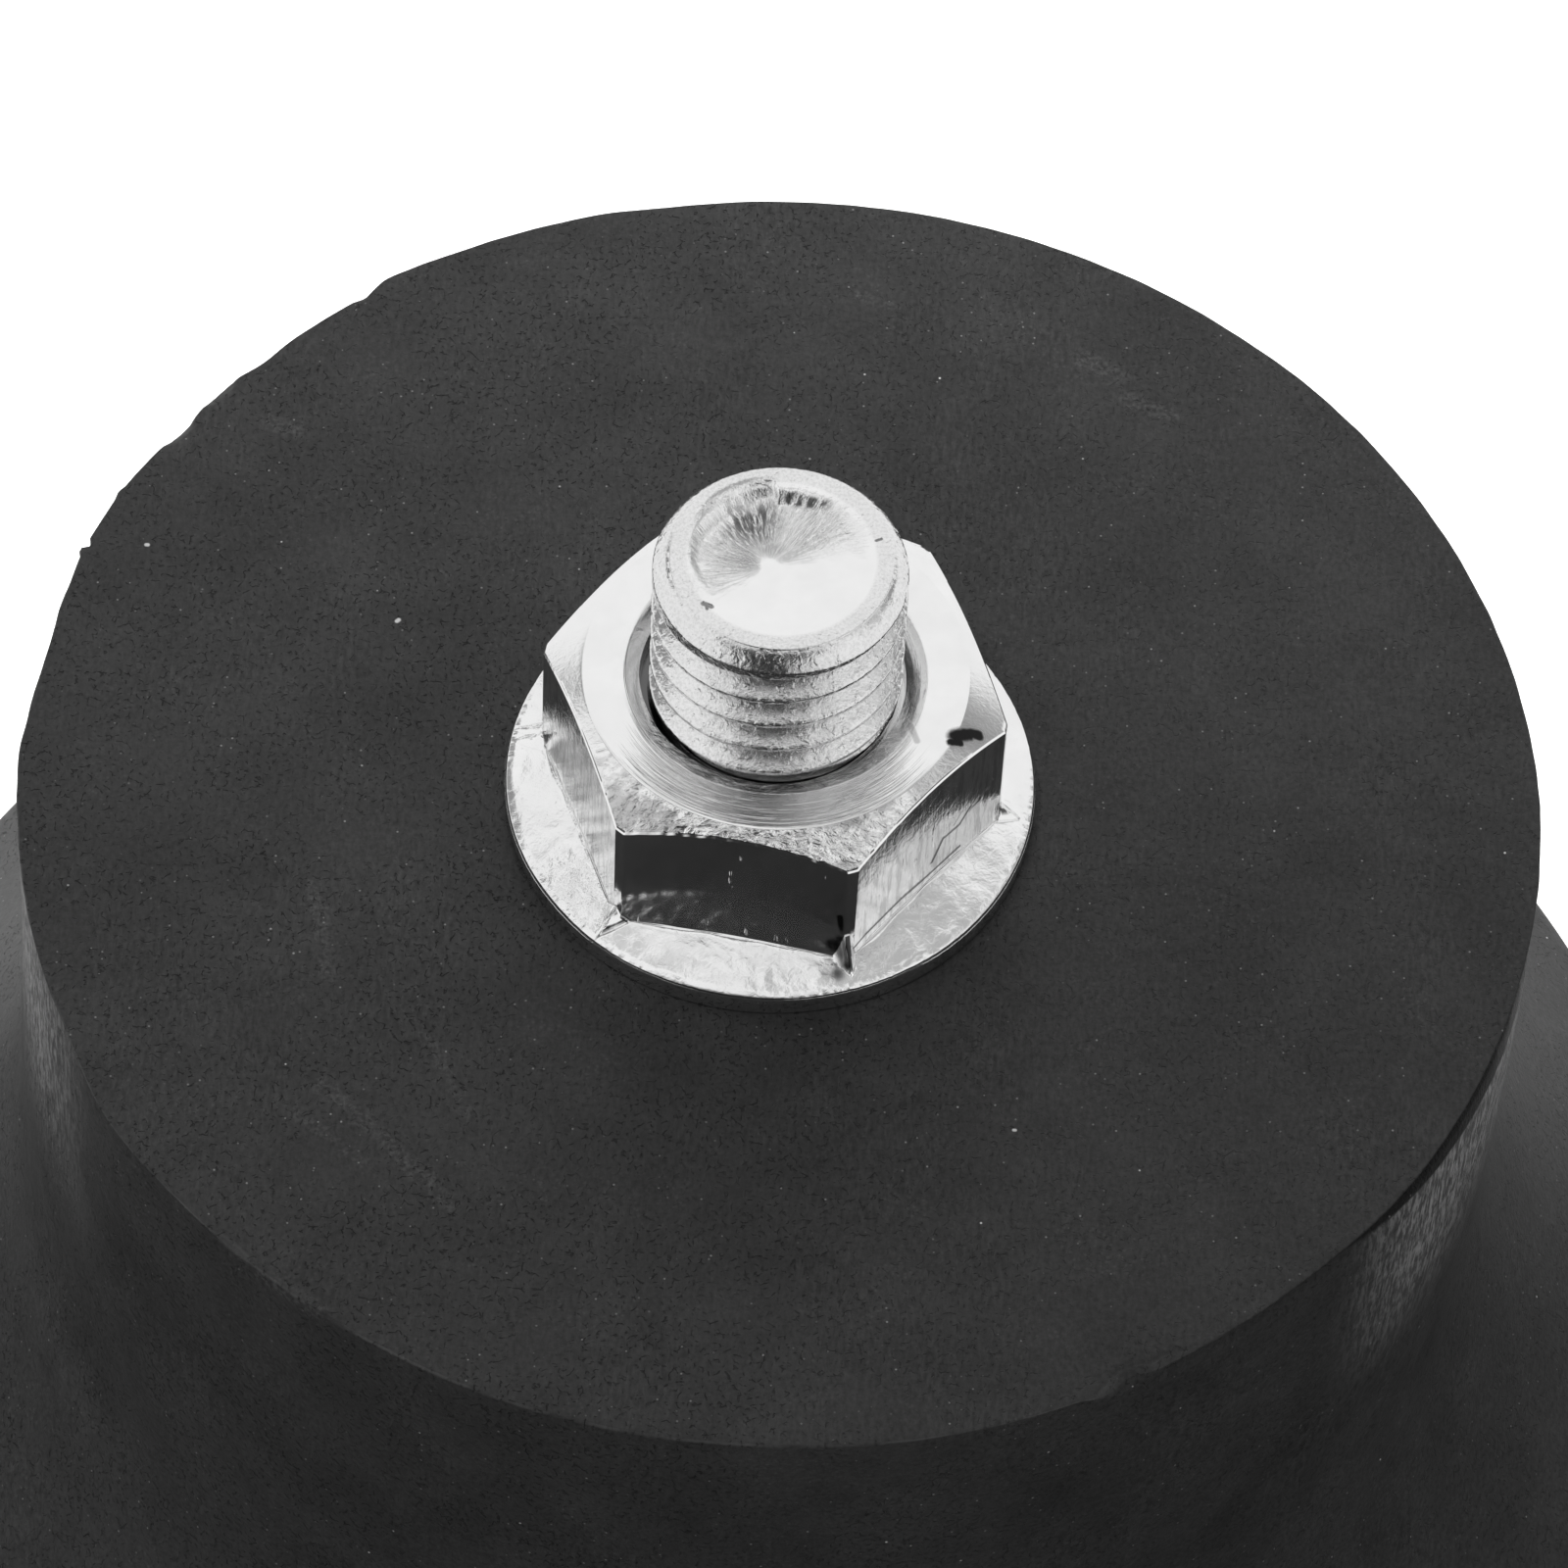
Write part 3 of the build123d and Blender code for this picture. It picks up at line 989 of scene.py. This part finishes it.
def cupFall(radius, angle):
    s = stud
    dimpleX, dimpleY, dimpleRadius, dimpleDepth = s["dimple"]
    away = math.dist(polar(radius, angle), (dimpleX, dimpleY)) / dimpleRadius
    towards, _ = polar(radius, angle - s["tiltAngle"])
    floorFall = max(s["cupLeast"], s["cupDepth"] + s["cupTilt"] * towards)
    floorFall += dimpleDepth * math.exp(-away ** 3)
    wall = 1 - ramp(radius, between(angle, s["cupFoot"]), between(angle, s["cupTop"]))
    return floorFall * wall


def studOutline():
    s = stud
    threadFoot = nutTop - nut["throatDepth"] + s["footGap"]
    threadTop = studEnd - s["endRound"]
    faceRadius = s["endRadius"] - s["endRound"]
    threadRows = math.ceil((threadTop - threadFoot) / s["pitch"] * s["rowsPerPitch"])
    outerRows, innerRows = s["endRows"]
    return joined(
        [(0, headLevel), (s["headRadius"], headLevel), (s["headRadius"], plateFoot)],
        [(s["shankRadius"], plateFoot), (s["shankRadius"], seatLevel)],
        [(s["neckedRadius"], seatLevel), (s["neckedRadius"], threadFoot)],
        line((s["crestRadius"], threadFoot), (s["crestRadius"], threadTop), threadRows),
        arc((faceRadius, threadTop), s["endRound"], 30, 90, 2),
        line((faceRadius, studEnd), (s["ringsMeet"], studEnd), outerRows),
        line((s["ringsMeet"], studEnd), (0, studEnd), innerRows),
    )


def studMove(radius, angle, height):
    s = stud
    if height > studEnd - 1e-3:
        return radius, angle, height - cupFall(radius, angle)
    if radius > s["crestRadius"] - 0.01 and height > seatLevel:
        share = (studEnd - s["endRound"] - height) / (s["bevelLength"] - s["endRound"])
        bevel = s["endRadius"] + max(0, share) ** s["bevelPower"] * (s["crestRadius"] - s["endRadius"])
        bevel += s["bevelSway"] * wobble(angle, height * 3, 20, 9)
        radius = min(threadRadius(angle, height), bevel)
    return radius, angle, height


def studMaterial():
    s = stud
    material, shader, coordinates, level, normal = zincBase("zincStud")
    place = coordinates["Object"]
    _, y, z = xyz(place)
    radius = flatRadius(place)
    front = smooth(maths("DIVIDE", y, radius), -0.55, -0.95)
    outside = smoothMm(radius, 2.85, 3.0)
    onEnd = times(smoothMm(z, studEnd - 0.9, studEnd - 0.8), inverse(outside))
    grain = noiseAt(place, 0.1, 3, 0.65)
    knobs = smooth(noiseAt(place, 0.22, 2, 0.5), 0.5, 0.75)
    crushed = noiseAt(place, 0.3, 3, 0.6, 1.2)
    # streaks that fan out from the cup's lowest point
    middle = s["streakMiddle"]
    cosine, sine = polar(1, s["fanAngle"])
    onCup = vectorMaths("SUBTRACT", place, (middle[0] * mm, middle[1] * mm, 0.0))
    outward = dot(onCup, (cosine, sine, 0.0))
    sideways = dot(onCup, (-sine, cosine, 0.0))
    direction = maths("ARCTAN2", sideways, outward)
    reach = flatRadius(place, middle)
    fanInputs = {"X": times(direction, mm), "Y": times(reach, 0.14)}
    fanPlace = node("ShaderNodeCombineXYZ", fanInputs).outputs["Vector"]
    streaks = noiseAt(fanPlace, 0.08, 4, 0.68, 0.4)
    uneven = smooth(noiseAt(place, 0.9, 2, 0.5), 0.3, 0.62, 0.5, 1.0)
    fanned = times(smooth(maths("ABSOLUTE", direction), 2.3, 1.4), onEnd, uneven,
                   smoothMm(reach, 0.15, 0.7), smoothMm(radius, 2.8, 2.2, 0.35, 1.0))
    dullX, dullY, dullRadius = s["dullSector"]
    dullAway = flatRadius(place, (dullX, dullY))
    dull = most(times(smoothMm(dullAway, dullRadius, 0.3), fanned), marksAt(place, s["dullPatch"]))
    dull = times(dull, smooth(streaks, 0.4, 0.55))
    swirl = noiseAt(stretched(place, (1, 3, 1), (0, 0, -0.3)), 0.5, 3, 0.6, 0.8)
    pits = marksAt(place, s["pits"])
    allOver, inGrain = s["wornShares"]
    worn = plus(allOver, times(smooth(grain, 0.4, 0.65), inGrain))
    level = darkened(level, (pits, s["pitShare"]), (dull, s["dullShare"]), (outside, worn))
    rough = plus(zinc["studRough"], times(front, outside, s["frontRough"]))
    normal = bumped(
        normal,
        (times(grain, outside, plus(0.25, front)), 0.009),
        (times(knobs, outside), 0.012),
        (times(crushed, outside), 0.012),
        (times(streaks, fanned), 0.17),
        (times(swirl, onEnd), 0.006),
        (pits, -0.06),
    )
    dress(shader, level, rough, normal)
    return material


bm = spun(studOutline(), stud["steps"])
reshape(bm, studMove)
studPiece = asPiece(bm, "threadedStud", "threaded_stud", 40)
studPiece.data.materials.append(studMaterial())
print("stud ready")


# Bonded plate, hidden in the rubber

steel = {
    "levels": (0.35, 0.5),
    "roughness": (0.35, 0.55),
    "bumpDepth": 0.03,
}


def steelMaterial():
    material, shader = newMaterial("plainSteel")
    cloud = noiseAt(node("ShaderNodeTexCoord").outputs["Object"], 3, 4, 0.6)
    shader.inputs["Metallic"].default_value = 1.0
    level = spread(cloud, *steel["levels"])
    normal = bumped(None, (cloud, steel["bumpDepth"]))
    dress(shader, level, spread(cloud, *steel["roughness"]), normal)
    return material


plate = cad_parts["anchor_plate"]
plate.data.materials.clear()
plate.data.materials.append(steelMaterial())
print("plate ready")


# Studio

studio = {
    "floorRadius": 3.0,
    "floorDrop": 0.0002,  # how far the floor lies under the object
    "floorShade": 0.8,
    "floorRough": 0.9,
    "floorGlow": 0.7,
    "darkReach": (0.14, 0.06),  # where the painted shadow on the floor in reflections starts and is full
    "tentLevel": 0.94,  # as metal mirrors it
    "skyLevel": 0.3,  # as it lights the rubber and the floor
    "frontDark": 0.97,
    "frontDim": 0.8,
    # dimmer parts of the tent: direction, cosine where each starts and is full, and strength
    "dimParts": [
        ((0.82, 0.4, 0.4), 0.955, 0.995, 0.6),
        ((0.87, 0.12, 0.48), 0.93, 0.99, 0.35),
        ((0.36, 0.1, 0.93), 0.913, 0.99, 0.5),
        ((-0.3, 0.24, 0.92), 0.97, 0.995, 0.35),
        ((-0.685, 0.526, 0.505), 0.955, 0.99, 0.7),
    ],
    # soft lamps that metal doesn't mirror: place in metres, size and power
    "lamps": {
        "backLamp": ((-0.01, 0.075, 0.1), 0.06, 0.058),
        "leftBackLamp": ((-0.09, 0.03, 0.07), 0.04, 0.042),
        "backRightLamp": ((0.035, 0.055, 0.05), 0.03, 0.026),
        "topLamp": ((-0.02, -0.06, 0.25), 0.15, 0.17),
        "frontLamp": ((0.0, -0.25, 0.024), 0.12, 0.09),
        "leftLamp": ((-0.17, 0.1, 0.02), 0.1, 0.12),
        "rightLamp": ((0.16, 0.12, 0.02), 0.1, 0.1),
    },
    "cameraElevation": 54.491,
    "cameraRoll": 3.049,
    "cameraPlace": (0.433, -174.915, 277.759),
    "lens": 220.0,
    "sensor": 36.0,
    "clip": (0.01, 20.0),
}


def rayKinds():
    # whether a ray comes from the camera, and whether from a mirroring or clear surface
    rays = node("ShaderNodeLightPath").outputs
    return rays["Is Camera Ray"], most(rays["Is Glossy Ray"], rays["Is Transmission Ray"])


def makeFloor():
    s = studio
    bm = bmesh.new()
    bmesh.ops.create_circle(bm, cap_ends=True, segments=96, radius=s["floorRadius"])
    floor, mesh = meshObject(bm, "floor")
    floor.location.z = -s["floorDrop"]
    material, shader = newMaterial("paleFloor")
    shader.inputs["Base Color"].default_value = (s["floorShade"],) * 3 + (1,)
    shader.inputs["Roughness"].default_value = s["floorRough"]
    shader.inputs["Specular IOR Level"].default_value = 0.0
    shader.inputs["Emission Color"].default_value = (1, 1, 1, 1)
    fromCamera, reflected = rayKinds()
    tree.links.new(times(fromCamera, s["floorGlow"]), shader.inputs["Emission Strength"])
    # in reflections the floor is white, but for a painted shadow in front of the object that is wider near
    # it
    place = node("ShaderNodeTexCoord").outputs["Object"]
    _, back, _ = xyz(vectorMaths("NORMALIZE", place))
    nearShadow = times(smooth(flatRadius(place), *s["darkReach"]), smooth(back, 0.5, -0.1))
    glow = darkened(smooth(back, -0.92, -0.62, 0.03, 0.95), (nearShadow, s["frontDark"]))
    seen = node("ShaderNodeEmission", {"Strength": glow})
    mixed = node("ShaderNodeMixShader", {0: reflected, 1: shader.outputs[0], 2: seen.outputs[0]})
    tree.links.new(mixed.outputs[0], tree.nodes["Material Output"].inputs["Surface"])
    mesh.materials.append(material)


def makeWorld():
    global tree
    s = studio
    world = bpy.data.worlds.new("studioWorld")
    bpy.context.scene.world = world
    world.use_nodes = True
    tree = world.node_tree
    tree.nodes.clear()
    way = node("ShaderNodeTexCoord").outputs["Generated"]
    x, y, z = xyz(way)
    # a white tent, open and dark in front and dimmer in a few parts; the opening is wider above
    aside = maths("ABSOLUTE", plus(x, 0.1))
    opening = plus(aside, smooth(z, 0.38, 0.48, 0.0, -0.25))
    low = times(smooth(y, -0.4, -0.7), smooth(z, 0.9, 0.65), smooth(opening, 0.45, 0.2), s["frontDark"])
    high = times(smooth(y, -0.15, -0.5), smooth(z, 0.99, 0.86), smooth(aside, 0.5, 0.2), s["frontDim"])
    tent = inverse(most(low, high))
    for direction, start, full, strength in s["dimParts"]:
        tent = darkened(tent, (smooth(dot(way, direction), start, full), strength))
    fromCamera, reflected = rayKinds()
    light = plus(times(tent, reflected, s["tentLevel"]), times(inverse(reflected), s["skyLevel"]))
    seen = most(light, fromCamera)
    background = node("ShaderNodeBackground", {"Color": (1, 1, 1, 1), "Strength": seen})
    node("ShaderNodeOutputWorld", {"Surface": background.outputs[0]})


def makeLamp(name, place, size, power):
    data = bpy.data.lights.new(name, "AREA")
    data.shape = "DISK"
    data.size = size
    data.energy = power
    lamp = newObject(name, data)
    lamp.location = place
    towards = Vector((0, 0, seatLevel * mm)) - Vector(place)
    lamp.rotation_euler = towards.to_track_quat("-Z", "Y").to_euler()
    lamp.visible_camera = False
    lamp.visible_glossy = False


def makeCamera():
    s = studio
    data = bpy.data.cameras.new("camera")
    data.sensor_width = s["sensor"]
    data.lens = s["lens"]
    data.clip_start, data.clip_end = s["clip"]
    camera = newObject("camera", data)
    camera.location = Vector(s["cameraPlace"]) * mm
    tip = Matrix.Rotation(math.radians(90 - s["cameraElevation"]), 4, "X")
    camera.rotation_euler = (tip @ Matrix.Rotation(math.radians(s["cameraRoll"]), 4, "Z")).to_euler()
    bpy.context.scene.camera = camera


makeFloor()
makeWorld()
for name, settings in studio["lamps"].items():
    makeLamp(name, *settings)
makeCamera()
bpy.context.scene.view_settings.view_transform = "Standard"
print("studio ready")
